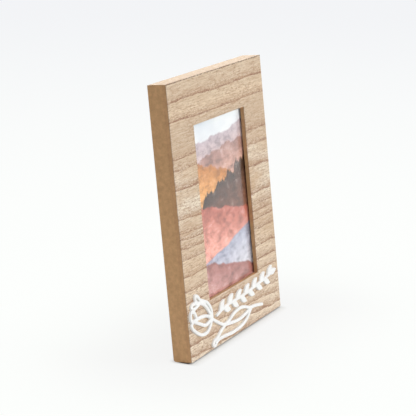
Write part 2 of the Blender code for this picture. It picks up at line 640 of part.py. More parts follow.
def sprig_leaf(root, way):
    """Pointed leaf that grows from its root along a direction."""
    stations = []
    for share in LEAF_STATIONS:
        fullness = math.sin(math.pi * share) ** LEAF_FULLNESS if 0.0 < share < 1.0 else 0.0
        half = SPRIG_LEAF_WIDTH / 2 * max(LEAF_BLUNT_SHARE, fullness)
        stations.append((root + way * SPRIG_LEAF_LENGTH * share, way, half))
    return stations


def build_sprig(panel, materials):
    front = -GLUE_GAP - ORNAMENT_THICKNESS
    line = smooth_line(corner_points(SPRIG_STEM), SPRIG_STEPS)
    strips = [strip(rounded_ends(line, SPRIG_STEM_WIDTH / 2), front, -GLUE_GAP)]
    travelled = 0.0
    due = SPRIG_FIRST_LEAF
    turn = math.radians(SPRIG_LEAF_SPREAD_DEG)
    for (place, way), (following, next_way) in zip(line, line[1:]):
        step = (following - place).length
        while due <= travelled + step:
            root = place.lerp(following, (due - travelled) / step)
            leaf_way = Matrix.Rotation(turn, 2) @ way
            strips.append(strip(sprig_leaf(root, leaf_way), front, -GLUE_GAP))
            turn = -turn
            due += SPRIG_LEAF_SPACING
        travelled += step
    end, end_way = line[-1]
    strips.append(strip(sprig_leaf(end - end_way * SPRIG_STEM_WIDTH, end_way), front, -GLUE_GAP))
    join_strips("sprig_ornament", strips, materials["ornament"], panel)


def main():
    clear_scene()
    materials = {key: make_material(*finish) for key, finish in FINISHES.items()}
    panel = bpy.data.objects.new("leaning_panel", None)
    bpy.context.collection.objects.link(panel)
    panel.matrix_world = PANEL_MATRIX
    build_front(panel, materials)
    build_bars(panel, materials)
    build_contents(panel, materials)
    build_hinge_and_strut(panel, materials)
    build_buttons(panel, materials)
    build_flower(panel, materials)
    build_sprig(panel, materials)


main()
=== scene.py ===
"""Looks of the standing picture frame, and the pale studio it stands in.

The finishes are wood veneer, fibreboard, printed paper, a clear pane, card, steel and white paint. Most of
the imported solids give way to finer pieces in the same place: eased edges, screws with a cross recess, and
ornaments with a rounded front edge.
"""
import json
import math

import bmesh
import bpy
from mathutils import Matrix, Vector
from mathutils.bvhtree import BVHTree

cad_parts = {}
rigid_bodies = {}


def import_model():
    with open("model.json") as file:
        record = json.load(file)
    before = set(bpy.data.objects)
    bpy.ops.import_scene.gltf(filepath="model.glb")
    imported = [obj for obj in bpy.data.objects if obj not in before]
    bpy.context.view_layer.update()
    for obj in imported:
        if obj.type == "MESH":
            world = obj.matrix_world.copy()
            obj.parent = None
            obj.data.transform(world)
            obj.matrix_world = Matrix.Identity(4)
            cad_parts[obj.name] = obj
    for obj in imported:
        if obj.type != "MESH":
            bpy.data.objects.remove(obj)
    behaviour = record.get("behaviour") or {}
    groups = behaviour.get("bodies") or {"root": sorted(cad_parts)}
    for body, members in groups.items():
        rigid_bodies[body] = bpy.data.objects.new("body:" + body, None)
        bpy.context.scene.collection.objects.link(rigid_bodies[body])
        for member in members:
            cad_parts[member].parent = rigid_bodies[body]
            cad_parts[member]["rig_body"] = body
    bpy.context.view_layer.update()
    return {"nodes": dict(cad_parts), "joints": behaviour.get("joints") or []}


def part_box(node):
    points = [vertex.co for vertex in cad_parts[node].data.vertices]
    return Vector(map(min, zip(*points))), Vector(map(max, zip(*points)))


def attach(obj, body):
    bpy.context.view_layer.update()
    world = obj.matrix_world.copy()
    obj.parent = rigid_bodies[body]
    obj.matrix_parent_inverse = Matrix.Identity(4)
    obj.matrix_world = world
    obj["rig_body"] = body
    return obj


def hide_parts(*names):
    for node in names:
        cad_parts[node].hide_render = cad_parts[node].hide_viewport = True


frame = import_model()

NODES = frame["nodes"]
MM = 0.001
WHITE = (1.0, 1.0, 1.0)

# Camera: where it looks, from which side and how far away
CAMERA_AIM = Vector((-0.0736, -0.0222, 0.1248))
CAMERA_AZIMUTH_DEG = -63.52
CAMERA_ELEVATION_DEG = 13.83
CAMERA_DISTANCE = 1.2875
CAMERA_LENS_MM = 144.70

# Softboxes: name, place and width in metres, power in watts, colour, and whether it lights matt surfaces
LAMP_AIM = Vector((0.0, 0.01, 0.105))
LAMPS = (
    ("top_softbox", (0.0, -0.10, 1.5), 1.2, 9.6, WHITE, True),
    ("front_softbox", (0.62, -1.50, 0.62), 0.8, 14.9, WHITE, True),
    ("low_fill", (-0.30, -0.14, 0.02), 0.12, 0.15, WHITE, True),
    ("rear_softbox", (1.75, 0.95, 0.75), 0.9, 6.9, (0.94, 1.0, 0.93), False),
)

# Surround, as it lights the object and as it shows beyond the floor
WORLD_STRENGTH = 0.27
BACKGROUND_FAR = (0.895, 0.905, 0.925)

# Floor: reaches are metres from the foot of the frame
FLOOR_RADIUS = 8.0
FLOOR_SIDES = 96
FLOOR_COLOUR = (0.82, 0.835, 0.82)
FLOOR_ROUGHNESS = 0.9
FLOOR_GLOSS = 0.2
FLOOR_UNEVEN_NOISE = (3.0, 2.0)
FLOOR_UNEVEN_TONE = (0.99, 1.0)
# Painted contact shadow under the foot, and the reach within which the lit floor shows in full
FLOOR_PAINTED_SHADOW_COLOUR = (0.11, 0.075, 0.05)
FLOOR_PAINTED_SHADOW_REACH = 0.004
FLOOR_UNDER_SETBACK = 0.010
FLOOR_SIDE_FALL = 3.0
FLOOR_CONTACT_REACH = 0.011
# Soft change from the shaded floor to the bright surround, whose colour holds a painted soft shade near the
# frame
FLOOR_SHADE_COLOUR = (0.945, 0.947, 0.942)
FLOOR_SHADE_REACH = 0.12
FLOOR_NEAR_SHARE = 0.93
FLOOR_LIT_REACH = 0.02
FLOOR_WHITE_REACH = 0.20
FLOOR_FAR_REACH = 2.2
BACKGROUND_NEAR = (0.984, 0.998, 0.982)

# Noise lies mostly in this range, about this middle, and has this roughness where none is given
NOISE_RANGE = (0.3, 0.7)
NOISE_MIDDLE = 0.5
NOISE_ROUGHNESS = 0.55

# Sockets of the node that mixes colours
MIX_FACTOR = 0
MIX_FIRST = 6
MIX_SECOND = 7
MIX_RESULT = 2

# Rows of a matrix that can turn and move points, and where a nearest search keeps the distance it found
MATRIX_SIZE = 4
NEAREST_DISTANCE = 3


def panel_frame():
    """Matrix from the panel's own upright frame, which starts at its front lower edge, and the lean."""
    turn = next(joint for joint in frame["joints"] if joint["name"].startswith("turn_"))
    lean = math.atan2(-turn["axis"][2], turn["axis"][1])
    rotation = Matrix.Rotation(-lean, MATRIX_SIZE, "X")
    upright = [rotation.inverted() @ vertex.co for vertex in NODES["face_veneer"].data.vertices]
    low = Vector((0.0, min(point.y for point in upright), min(point.z for point in upright)))
    return rotation @ Matrix.Translation(low), lean


PANEL, LEAN = panel_frame()
TO_PANEL = PANEL.inverted()


def panel_points(node):
    """Corners of a node's mesh in the panel's frame."""
    return [TO_PANEL @ vertex.co for vertex in NODES[node].data.vertices]


def panel_box(node):
    """Lowest and highest corner of a node in the panel's frame."""
    points = panel_points(node)
    low = Vector([min(values) for values in zip(*points)])
    high = Vector([max(values) for values in zip(*points)])
    return low, high


def darkened(colour, share):
    return tuple(share * part for part in colour)


def lightened(colour, share):
    """A colour that keeps only a share of its distance from white."""
    return tuple(1.0 - share * (1.0 - part) for part in colour)


class Nodes:
    """A node tree, with short calls to add and join its nodes."""

    def __init__(self, tree):
        self.tree = tree

    def add(self, kind, **settings):
        node = self.tree.nodes.new("ShaderNode" + kind)
        for key, value in settings.items():
            setattr(node, key, value)
        return node

    def feed(self, socket, value):
        """Links an output to a socket, or sets a plain value on it."""
        if isinstance(value, bpy.types.NodeSocket):
            self.tree.links.new(value, socket)
        elif socket.type == "RGBA":
            socket.default_value = (*value, 1.0)
        else:
            socket.default_value = value

    def math(self, operation, first, second=0.0):
        node = self.add("Math", operation=operation)
        self.feed(node.inputs[0], first)
        self.feed(node.inputs[1], second)
        return node.outputs[0]

    def product(self, first, *others):
        for other in others:
            first = self.math("MULTIPLY", first, other)
        return first

    def shown(self):
        """1 for the camera's own rays, and for those that gloss and glass pass on to it."""
        rays = self.add("LightPath").outputs
        direct = self.math("MAXIMUM", rays["Is Camera Ray"], rays["Is Glossy Ray"])
        return self.math("MAXIMUM", direct, rays["Is Transmission Ray"])

    def choose(self, factor, first, second, output):
        """Blends two shaders on their way to the tree's output."""
        node = self.add("MixShader")
        for socket, value in zip(node.inputs, (factor, first, second)):
            self.feed(socket, value)
        self.feed(self.tree.nodes[output].inputs["Surface"], node.outputs[0])


class Look(Nodes):
    """A node material, with its shader at hand."""

    def __init__(self, name):
        self.material = bpy.data.materials.new(name)
        self.material.use_nodes = True
        super().__init__(self.material.node_tree)
        self.shader = self.tree.nodes["Principled BSDF"]

    def set(self, values):
        for name, value in values.items():
            self.feed(self.shader.inputs[name], value)

    def millimetres(self):
        """Place on the panel in millimetres, the same on every piece and in every pose."""
        mapping = self.add("Mapping", vector_type="TEXTURE")
        self.feed(mapping.inputs["Vector"], self.add("TexCoord").outputs["Object"])
        self.feed(mapping.inputs["Location"], PANEL.translation)
        self.feed(mapping.inputs["Rotation"], (-LEAN, 0.0, 0.0))
        self.feed(mapping.inputs["Scale"], (MM, MM, MM))
        return mapping.outputs["Vector"]

    def split(self, vector):
        node = self.add("SeparateXYZ")
        self.feed(node.inputs[0], vector)
        return node.outputs

    def join(self, x, y, z):
        node = self.add("CombineXYZ")
        for socket, value in zip(node.inputs, (x, y, z)):
            self.feed(socket, value)
        return node.outputs[0]

    def vector(self, operation, first, second):
        node = self.add("VectorMath", operation=operation)
        self.feed(node.inputs[0], first)
        self.feed(node.inputs[1], second)
        return node.outputs[0]

    def noise(self, vector, scale, detail, roughness=NOISE_ROUGHNESS, distortion=0.0):
        node = self.add("TexNoise")
        self.feed(node.inputs["Vector"], vector)
        self.feed(node.inputs["Scale"], scale)
        self.feed(node.inputs["Detail"], detail)
        self.feed(node.inputs["Roughness"], roughness)
        self.feed(node.inputs["Distortion"], distortion)
        return node.outputs["Fac"]

    def grain(self, vector, stretch, detail, roughness=NOISE_ROUGHNESS, distortion=0.0):
        """Noise with a scale of its own along each axis."""
        return self.noise(self.vector("MULTIPLY", vector, stretch), 1.0, detail, roughness, distortion)

    def swing(self, noise, reach):
        """Noise as a shift to both sides, with the whole reach between them."""
        return self.math("MULTIPLY", self.math("SUBTRACT", noise, NOISE_MIDDLE), reach)

    def span(self, value, low, high, to_low=0.0, to_high=1.0, shape="LINEAR"):
        """Maps a value from one range to another, held at the ends."""
        node = self.add("MapRange", clamp=True, interpolation_type=shape)
        for socket, item in zip(node.inputs, (value, low, high, to_low, to_high)):
            self.feed(socket, item)
        return node.outputs[0]

    def wave(self, value, pace):
        return self.math("SINE", self.math("MULTIPLY", value, pace))

    def outside(self, value, low, high):
        """How far a value lies outside a range."""
        below = self.math("SUBTRACT", low, value)
        above = self.math("SUBTRACT", value, high)
        return self.math("MAXIMUM", self.math("MAXIMUM", below, above), 0.0)

    def diagonal(self, first, second):
        """Length of the diagonal over two sides."""
        squares = [self.math("POWER", side, 2.0) for side in (first, second)]
        return self.math("SQRT", self.math("ADD", *squares))

    def mix(self, factor, first, second):
        node = self.add("Mix", data_type="RGBA")
        self.feed(node.inputs[MIX_FACTOR], factor)
        self.feed(node.inputs[MIX_FIRST], first)
        self.feed(node.inputs[MIX_SECOND], second)
        return node.outputs[MIX_RESULT]

    def growth(self, height):
        """Number of growth lines passed at a height, given as a share of the panel."""
        node = self.add("FloatCurve")
        points = node.mapping.curves[0].points
        count = len(GROWTH_LINES) - 1
        for index in range(1, count):
            points.new(GROWTH_LINES[index] / PANEL_TOP, index / count)
        for point in points:
            point.handle_type = "VECTOR"
        node.mapping.update()
        self.feed(node.inputs["Value"], height)
        return self.math("MULTIPLY", node.outputs[0], count)

    def bump(self, height, distance, strength):
        node = self.add("Bump")
        self.feed(node.inputs["Distance"], distance)
        self.feed(node.inputs["Strength"], strength)
        self.feed(node.inputs["Height"], height)
        self.feed(self.shader.inputs["Normal"], node.outputs[0])


# Veneer: heights of the growth lines on the panel, in millimetres from its bottom, and their slope lower down
GROWTH_LINES = (0.0, 9.0, 18.5, 27.0, 34.0, 43.5, 53.0, 64.9, 78.3, 87.2, 94.3, 99.5, 110.0, 133.0, 150.0,
                160.3, 189.0, 204.5, 220.0)
PANEL_TOP = GROWTH_LINES[-1]
GROWTH_SLOPE = 0.04
GROWTH_LEVEL_FROM = 165.0
GROWTH_SLOPED_BELOW = 140.0

# Fewest growth lines for each millimetre that a height above a line is worked out with
LEAST_PACE = 0.03

# How the growth lines wander: stretch of the noise along x, y and z, its detail, and the reach in millimetres
WANDERS = (
    ((0.012, 1.0, 0.02), 2.0, 7.0),
    ((0.05, 1.0, 0.10), 3.0, 3.0),
    ((0.25, 1.0, 0.5), 3.0, 1.6),
)
WANDER_ROUGHNESS = 0.65

# Tints by height on the veneer, paler low down and in the middle, deeper toward the top: heights where each
# begins, is full, starts to fade and ends, then its strength and tint
VENEER_HEIGHT_TINTS = (
    (-2.0, -1.0, 20.0, 88.0, 0.80, (0.905, 0.785, 0.630)),
    (88.0, 100.0, 142.0, 152.0, 0.80, (0.832, 0.740, 0.598)),
    (148.0, 160.0, 184.0, 196.0, 0.90, (0.600, 0.460, 0.325)),
    (196.0, 204.0, 230.0, 240.0, 0.75, (0.650, 0.510, 0.360)),
)

# Colours of the wood
EARLY_GREY = (0.775, 0.645, 0.495)
EARLY_HONEY = (0.765, 0.610, 0.432)
PATCH_BROWN = (0.62, 0.445, 0.285)
LATE_BROWN = (0.43, 0.240, 0.135)
LINE_BROWN = (0.25, 0.100, 0.050)
STIPPLE_BROWN = (0.29, 0.140, 0.075)
FIBRE_BROWN = (0.43, 0.250, 0.142)
FIBRE_PALE = (0.82, 0.72, 0.59)
RIPPLE_BROWN = (0.43, 0.258, 0.150)
PORE_BROWN = (0.22, 0.125, 0.065)
TORN_BROWN = (0.13, 0.075, 0.045)

# Chances that differ from one growth band to the next
EARLY_SEED = 0.5
PATCH_SEED = 20.5
SHADE_SEED = 40.5
LINE_SEED = 60.5

# Grain of the wood: stretch along x, y and z, detail, roughness and distortion
PATCH_GRAIN = ((0.016, 1.0, 0.07), 3.0, 0.6)
COURSE_GRAIN = ((0.035, 1.0, 0.05), 4.0, 0.6)
RAGGED_GRAIN = ((0.30, 1.0, 0.7), 4.0, 0.7)
STIPPLE_GRAIN = ((0.34, 1.0, 0.85), 3.0, 0.7, 0.4)
FIBRE_GRAIN = ((0.05, 1.0, 0.95), 5.0, 0.65)
RIPPLE_GRAIN = ((0.22, 1.0, 0.75), 4.0, 0.65, 0.7)
PORE_GRAIN = ((0.16, 1.0, 1.5), 3.0, 0.6)
TORN_NOISE = (0.45, 3.0, 0.7)

# Ranges of the wood's grain and heights in millimetres, each with the strengths it turns into where these
# aren't 0 and 1
PATCH_SPAN = (0.40, 0.60)
QUIET_FOOT_SPAN = (70.0, 30.0, 1.0, 0.85)
SHADE_HEIGHT_SPAN = (8.0, 0.2)
SHADE_CHANCE_SPAN = (0.0, 1.0, 0.35, 1.0)
SHADE_RAGGED_SPAN = (0.38, 0.60, 0.20, 1.0)
LINE_WIDTH_SPAN = (0.35, 0.65, 0.7, 1.7)
LINE_RAGGED_SPAN = (0.3, 0.7, -0.5, 0.5)
LINE_EDGE_SPAN = (-0.15, 0.45)
LINE_CHANCE_SPAN = (0.0, 0.8, 0.50, 0.95)
LINE_COURSE_SPAN = (0.34, 0.56, 0.35, 1.0)
LINE_BREAK_SPAN = (0.36, 0.54, 0.35, 1.0)
STIPPLE_SPAN = (0.52, 0.57)
STIPPLE_HEIGHT_SPAN = (6.0, 0.5, 0.0, 0.95)
FIBRE_DARK_SPAN = (0.48, 0.68, 0.0, 0.75)
FIBRE_PALE_SPAN = (0.46, 0.30, 0.0, 0.55)
RIPPLE_SPAN = (0.50, 0.60)
RIPPLE_PATCH_SPAN = (0.60, 0.42, 0.25, 0.8)
PORE_SPAN = (0.60, 0.67, 0.0, 0.7)
TOP_EDGE_SPAN = (PANEL_TOP - 1.0, PANEL_TOP - 0.5)
TORN_SPAN = (0.42, 0.55)
VENEER_ROUGHNESS = (0.72, 0.52)
VENEER_RELIEF = (0.00012, 0.5)


def growth_bands(look, flat, x, z):
    """Number of the growth band at a place, and the height in millimetres above the band's own line."""
    slope = look.span(z, GROWTH_LEVEL_FROM, GROWTH_SLOPED_BELOW, 0.0, GROWTH_SLOPE)
    shift = look.math("MULTIPLY", x, slope)
    for stretch, detail, reach in WANDERS:
        wander = look.swing(look.grain(flat, stretch, detail, WANDER_ROUGHNESS), reach)
        shift = look.math("ADD", shift, wander)
    height = look.math("DIVIDE", look.math("ADD", z, shift), PANEL_TOP)
    phase = look.growth(height)
    one_higher = look.growth(look.math("ADD", height, 1.0 / PANEL_TOP))
    pace = look.math("MAXIMUM", look.math("SUBTRACT", one_higher, phase), LEAST_PACE)
    return look.math("FLOOR", phase), look.math("DIVIDE", look.math("FRACT", phase), pace)


def veneer_look():
    """Pale open-grained wood with level grain: bands over brown growth lines, short pores and flecks."""
    look = Look("pale_veneer")
    place = look.millimetres()
    axes = look.split(place)
    x, z = axes["X"], axes["Z"]
    flat = look.join(x, 0.0, z)
    band, above = growth_bands(look, flat, x, z)

    def chance(seed):
        node = look.add("TexWhiteNoise", noise_dimensions="1D")
        look.feed(node.inputs["W"], look.math("ADD", band, seed))
        return node.outputs["Value"]

    patch = look.grain(flat, *PATCH_GRAIN)
    wood = look.mix(chance(EARLY_SEED), EARLY_GREY, EARLY_HONEY)
    # Paler low down and in the middle, deeper toward the top
    for rise, full, fall, end, strength, tint in VENEER_HEIGHT_TINTS:
        within = look.product(look.span(z, rise, full), look.span(z, end, fall), strength)
        wood = look.mix(within, wood, tint)
    patches = look.product(chance(PATCH_SEED), look.span(patch, *PATCH_SPAN))
    wood = look.mix(patches, wood, PATCH_BROWN)

    course = look.grain(flat, *COURSE_GRAIN)
    ragged = look.grain(flat, *RAGGED_GRAIN)
    quiet = look.span(z, *QUIET_FOOT_SPAN)
    shade = look.product(look.span(above, *SHADE_HEIGHT_SPAN),
                         look.span(chance(SHADE_SEED), *SHADE_CHANCE_SPAN),
                         look.span(ragged, *SHADE_RAGGED_SPAN), quiet)
    wood = look.mix(shade, wood, LATE_BROWN)
    width = look.math("ADD", look.span(course, *LINE_WIDTH_SPAN), look.span(ragged, *LINE_RAGGED_SPAN))
    line = look.product(look.span(look.math("SUBTRACT", width, above), *LINE_EDGE_SPAN),
                        look.span(chance(LINE_SEED), *LINE_CHANCE_SPAN), quiet,
                        look.span(course, *LINE_COURSE_SPAN), look.span(ragged, *LINE_BREAK_SPAN))
    wood = look.mix(line, wood, LINE_BROWN)
    stipple = look.product(look.span(look.grain(flat, *STIPPLE_GRAIN), *STIPPLE_SPAN),
                           look.span(above, *STIPPLE_HEIGHT_SPAN), quiet)
    wood = look.mix(stipple, wood, STIPPLE_BROWN)

    fibre = look.grain(flat, *FIBRE_GRAIN)
    wood = look.mix(look.span(fibre, *FIBRE_DARK_SPAN), wood, FIBRE_BROWN)
    wood = look.mix(look.span(fibre, *FIBRE_PALE_SPAN), wood, FIBRE_PALE)
    ripples = look.product(look.span(look.grain(flat, *RIPPLE_GRAIN), *RIPPLE_SPAN),
                           look.span(patch, *RIPPLE_PATCH_SPAN))
    wood = look.mix(ripples, wood, RIPPLE_BROWN)
    pores = look.span(look.grain(flat, *PORE_GRAIN), *PORE_SPAN)
    wood = look.mix(pores, wood, PORE_BROWN)
    torn = look.product(look.span(z, *TOP_EDGE_SPAN), look.span(look.noise(place, *TORN_NOISE), *TORN_SPAN))
    wood = look.mix(torn, wood, TORN_BROWN)
    look.set({"Base Color": wood, "Roughness": look.span(fibre, *NOISE_RANGE, *VENEER_ROUGHNESS)})
    look.bump(look.math("SUBTRACT", fibre, look.math("ADD", pores, line)), *VENEER_RELIEF)
    return look.material


# Fibreboard: scale, detail and roughness of its noise, its ranges, and depth and strength of its relief
BOARD_MOTTLE = (0.30, 5.0, 0.7)
BOARD_FINE = (2.2, 3.0, 0.7)
BOARD_MOTTLE_SPAN = (0.36, 0.64)
BOARD_SPECK_SPAN = (0.55, 0.78, 0.0, 0.35)
BOARD_ROUGHNESS = (0.42, 0.52)
BOARD_RELIEF = (0.00008, 0.12)

# Screen pressed into the rough face of hardboard: radians for each millimetre, tint and share of the relief
SCREEN_PACE = 4.2
SCREEN_SPAN = (0.0, 1.0, 0.0, 0.25)
SCREEN_RELIEF = 0.8

# Pale, dark and speck colour of each board
BAR_COLOURS = ((0.70, 0.405, 0.190), (0.56, 0.315, 0.142), (0.40, 0.21, 0.09))
FRONT_COLOURS = ((0.66, 0.375, 0.178), (0.53, 0.290, 0.135), (0.34, 0.17, 0.08))
BACKING_COLOURS = ((0.20, 0.115, 0.06), (0.15, 0.085, 0.045), (0.09, 0.05, 0.03))


def fibreboard_look(name, colours, screened=False):
    """Pressed fibres: soft mottling, fine specks, and a pressed screen pattern on a rough face."""
    pale, dark, speck = colours
    look = Look(name)
    place = look.millimetres()
    mottle = look.noise(place, *BOARD_MOTTLE)
    fine = look.noise(place, *BOARD_FINE)
    colour = look.mix(look.span(mottle, *BOARD_MOTTLE_SPAN), pale, dark)
    colour = look.mix(look.span(fine, *BOARD_SPECK_SPAN), colour, speck)
    height = fine
    if screened:
        axes = look.split(place)
        screen = look.product(look.wave(axes["X"], SCREEN_PACE), look.wave(axes["Z"], SCREEN_PACE))
        colour = look.mix(look.span(screen, *SCREEN_SPAN), colour, speck)
        height = look.math("ADD", fine, look.math("MULTIPLY", screen, SCREEN_RELIEF))
    look.set({"Base Color": colour, "Roughness": look.span(mottle, *NOISE_RANGE, *BOARD_ROUGHNESS)})
    look.bump(height, *BOARD_RELIEF)
    return look.material


# Steel: colour and roughness of each plating, its clouds and scratches, and what these change
ZINC_PLATE = ((0.66, 0.66, 0.67), 0.3)
BUTTON_PLATE = ((0.64, 0.61, 0.55), 0.34)
STEEL_CLOUD = (0.35, 3.0, 0.6)
STEEL_SCRATCH = ((0.4, 9.0, 9.0), 2.0)
STEEL_CLOUD_SHARE = 0.72
STEEL_SMOOTHER = 0.08
STEEL_ROUGHER = 0.12
STEEL_RELIEF = (0.00002, 0.3)


def steel_look(name, plate):
    """Zinc-plated sheet: cloudy plating with fine brushed scratches."""
    colour, roughness = plate
    look = Look(name)
    place = look.millimetres()
    cloud = look.noise(place, *STEEL_CLOUD)
    scratch = look.grain(place, *STEEL_SCRATCH)
    look.set({
        "Base Color": look.mix(look.span(cloud, *NOISE_RANGE), colour, darkened(colour, STEEL_CLOUD_SHARE)),
        "Roughness": look.span(scratch, *NOISE_RANGE, roughness - STEEL_SMOOTHER, roughness + STEEL_ROUGHER),
        "Metallic": 1.0,
    })
    look.bump(scratch, *STEEL_RELIEF)
    return look.material


# White paint
PAINT_UNEVEN = (0.4, 3.0)
PAINT_BRUSH = ((0.7, 2.0, 2.0), 3.0)
PAINT_UNEVEN_SPAN = (0.35, 0.7)
PAINT_WHITE = (0.95, 0.95, 0.945)
PAINT_DULL = (0.90, 0.90, 0.89)
PAINT_ROUGHNESS = (0.36, 0.5)
PAINT_RELIEF = (0.00006, 0.35)


def paint_look():
    """White brushed paint: barely uneven tone, satin, with soft brush ridges."""
    look = Look("white_paint")
    place = look.millimetres()
    uneven = look.noise(place, *PAINT_UNEVEN)
    brush = look.grain(place, *PAINT_BRUSH)
    look.set({
        "Base Color": look.mix(look.span(uneven, *PAINT_UNEVEN_SPAN), PAINT_WHITE, PAINT_DULL),
        "Roughness": look.span(brush, *NOISE_RANGE, *PAINT_ROUGHNESS),
    })
    look.bump(brush, *PAINT_RELIEF)
    return look.material


# Corrugated card: its flutes are given in radians for each millimetre
CARD_FIBRE = (1.1, 4.0, 0.65)
CARD_PALE = (0.50, 0.36, 0.22)
CARD_DARK = (0.38, 0.26, 0.15)
CARD_ROUGHNESS = (0.8, 0.92)
FLUTE_PACE = 1.7
FLUTE_SPAN = (0.2, 1.0, 0.0, 0.2)
FLUTE_BROWN = (0.30, 0.20, 0.12)
FLUTE_RELIEF = (0.0002, 0.4)


def card_look():
    """Grey-brown corrugated card: paper fibres over faint flutes."""
    look = Look("corrugated_card")
    place = look.millimetres()
    fibre = look.noise(place, *CARD_FIBRE)
    flute = look.wave(look.split(place)["X"], FLUTE_PACE)
    colour = look.mix(look.span(fibre, *NOISE_RANGE), CARD_PALE, CARD_DARK)
    look.set({
        "Base Color": look.mix(look.span(flute, *FLUTE_SPAN), colour, FLUTE_BROWN),
        "Roughness": look.span(fibre, *NOISE_RANGE, *CARD_ROUGHNESS),
    })
    look.bump(flute, *FLUTE_RELIEF)
    return look.material


# Pane
PANE_COLOUR = (0.97, 0.985, 0.98)
PANE_IOR = 1.22
PANE_RIPPLE = (0.03, 2.0)
PANE_RELIEF = (0.0001, 0.05)
PANE_SHADOW_COLOUR = (0.95, 0.97, 0.96)


def glass_look():
    """Clear pane: polished with the faintest ripple; lamps shine through it."""
    look = Look("clear_pane")
    ripple = look.noise(look.millimetres(), *PANE_RIPPLE)
    look.set({"Base Color": PANE_COLOUR, "Roughness": 0.0, "IOR": PANE_IOR, "Transmission Weight": 1.0})
    look.bump(ripple, *PANE_RELIEF)
    clear = look.add("BsdfTransparent")
    look.feed(clear.inputs["Color"], PANE_SHADOW_COLOUR)
    in_shadow = look.add("LightPath").outputs["Is Shadow Ray"]
    look.choose(in_shadow, look.shader.outputs[0], clear.outputs[0], "Material Output")
    return look.material


# Sky on the print
CLOUD_GRAIN = ((1.8, 1.0, 4.0), 5.0, 0.55)
CLOUD_SPAN = (0.42, 0.66, 0.0, 0.85)
CLOUD_COLOUR = (0.68, 0.67, 0.67)
SKY_SPAN = (0.65, 1.0)
SKY_LOW = (0.66, 0.57, 0.53)
SKY_HIGH = (0.50, 0.54, 0.60)
PRINT_ROUGHNESS = (0.30, 0.36)

# Landscape on the print, from the far layers to the near ones: height of the ridge at the left and right edge
# and swing of its outline as shares of the print, fineness of the outline, the noise's own seed, crest colour
# and foot colour
LANDSCAPE = (
    (0.86, 0.90, 0.12, 3.0, 3.1, (0.38, 0.30, 0.33), (0.60, 0.42, 0.38)),
    (0.77, 0.82, 0.16, 3.5, 7.7, (0.29, 0.15, 0.13), (0.60, 0.32, 0.24)),
    (0.80, 0.58, 0.14, 6.0, 1.3, (0.40, 0.14, 0.024), (0.72, 0.34, 0.10)),
    (0.52, 0.72, 0.24, 9.0, 5.9, (0.030, 0.012, 0.007), (0.16, 0.055, 0.029)),
    (0.54, 0.42, 0.10, 4.0, 9.4, (0.37, 0.080, 0.050), (0.64, 0.26, 0.200)),
    (0.20, 0.34, 0.06, 2.5, 2.6, (0.27, 0.27, 0.36), (0.58, 0.54, 0.58)),
    (0.24, 0.10, 0.10, 5.0, 8.2, (0.27, 0.080, 0.066), (0.52, 0.25, 0.23)),
)
RIDGE_DETAIL = 7.0
RIDGE_ROUGHNESS = 0.6
RIDGE_EDGE_SPAN = (-0.003, 0.006)
HILL_STRETCH = (1.0, 1.0, 1.8)
HILL_NOISE = (9.0, 6.0, 0.7)
HILL_FOOT_SPAN = (0.0, 0.22)
HILL_DARK_SPAN = (0.48, 0.64, 0.0, 0.75)
HILL_DARK_SHARE = 0.45
HILL_LIGHT_SPAN = (0.46, 0.32, 0.0, 0.25)
HILL_LIGHT_SHARE = 0.5


def print_look():
    """Photo paper with a soft generic landscape: pale sky, ochre and brown hills, heather and water."""
    look = Look("print_paper")
    low, high = panel_box("picture_print")
    axes = look.split(look.millimetres())
    across = look.span(axes["X"], low.x / MM, high.x / MM)
    upward = look.span(axes["Z"], low.z / MM, high.z / MM)
    plane = look.join(across, 0.0, look.math("MULTIPLY", upward, (high.z - low.z) / (high.x - low.x)))
    cloud = look.grain(plane, *CLOUD_GRAIN)
    sky = look.mix(look.span(upward, *SKY_SPAN), SKY_LOW, SKY_HIGH)
    picture = look.mix(look.span(cloud, *CLOUD_SPAN), sky, CLOUD_COLOUR)
    for left, right, swing, fineness, seed, crest, foot in LANDSCAPE:
        level = look.span(across, 0.0, 1.0, left, right)
        outline = look.noise(look.join(across, seed, 0.0), fineness, RIDGE_DETAIL, RIDGE_ROUGHNESS)
        depth = look.math("SUBTRACT", look.math("ADD", level, look.swing(outline, swing)), upward)
        own_place = look.vector("ADD", plane, (seed, seed, seed))
        plants = look.noise(look.vector("MULTIPLY", own_place, HILL_STRETCH), *HILL_NOISE)
        hill = look.mix(look.span(depth, *HILL_FOOT_SPAN), crest, foot)
        hill = look.mix(look.span(plants, *HILL_DARK_SPAN), hill, darkened(crest, HILL_DARK_SHARE))
        hill = look.mix(look.span(plants, *HILL_LIGHT_SPAN), hill, lightened(foot, HILL_LIGHT_SHARE))
        picture = look.mix(look.span(depth, *RIDGE_EDGE_SPAN), picture, hill)
    look.set({"Base Color": picture, "Roughness": look.span(cloud, *NOISE_RANGE, *PRINT_ROUGHNESS)})
    return look.material


def finish_nodes(nodes, material):
    for node in nodes:
        NODES[node].data.materials.clear()
        NODES[node].data.materials.append(material)


# Angle above which an edge between faces stays sharp
SMOOTH_DEG = 35.0
ORNAMENT_SMOOTH_DEG = 50.0


def new_piece(name, bm, material, node, smooth_deg=SMOOTH_DEG):
    """Turns a bmesh in the panel's frame into a piece that stands for a CAD node."""
    bmesh.ops.transform(bm, matrix=PANEL, verts=bm.verts)
    mesh = bpy.data.meshes.new(name)
    bm.to_mesh(mesh)
    bm.free()
    mesh.shade_smooth()
    mesh.set_sharp_from_angle(angle=math.radians(smooth_deg))
    mesh.materials.append(material)
    piece = bpy.data.objects.new(name, mesh)
    piece.modifiers.new("even_faces", "WEIGHTED_NORMAL").keep_sharp = True
    bpy.context.scene.collection.objects.link(piece)
    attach(piece, NODES[node]["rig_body"])
    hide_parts(node)


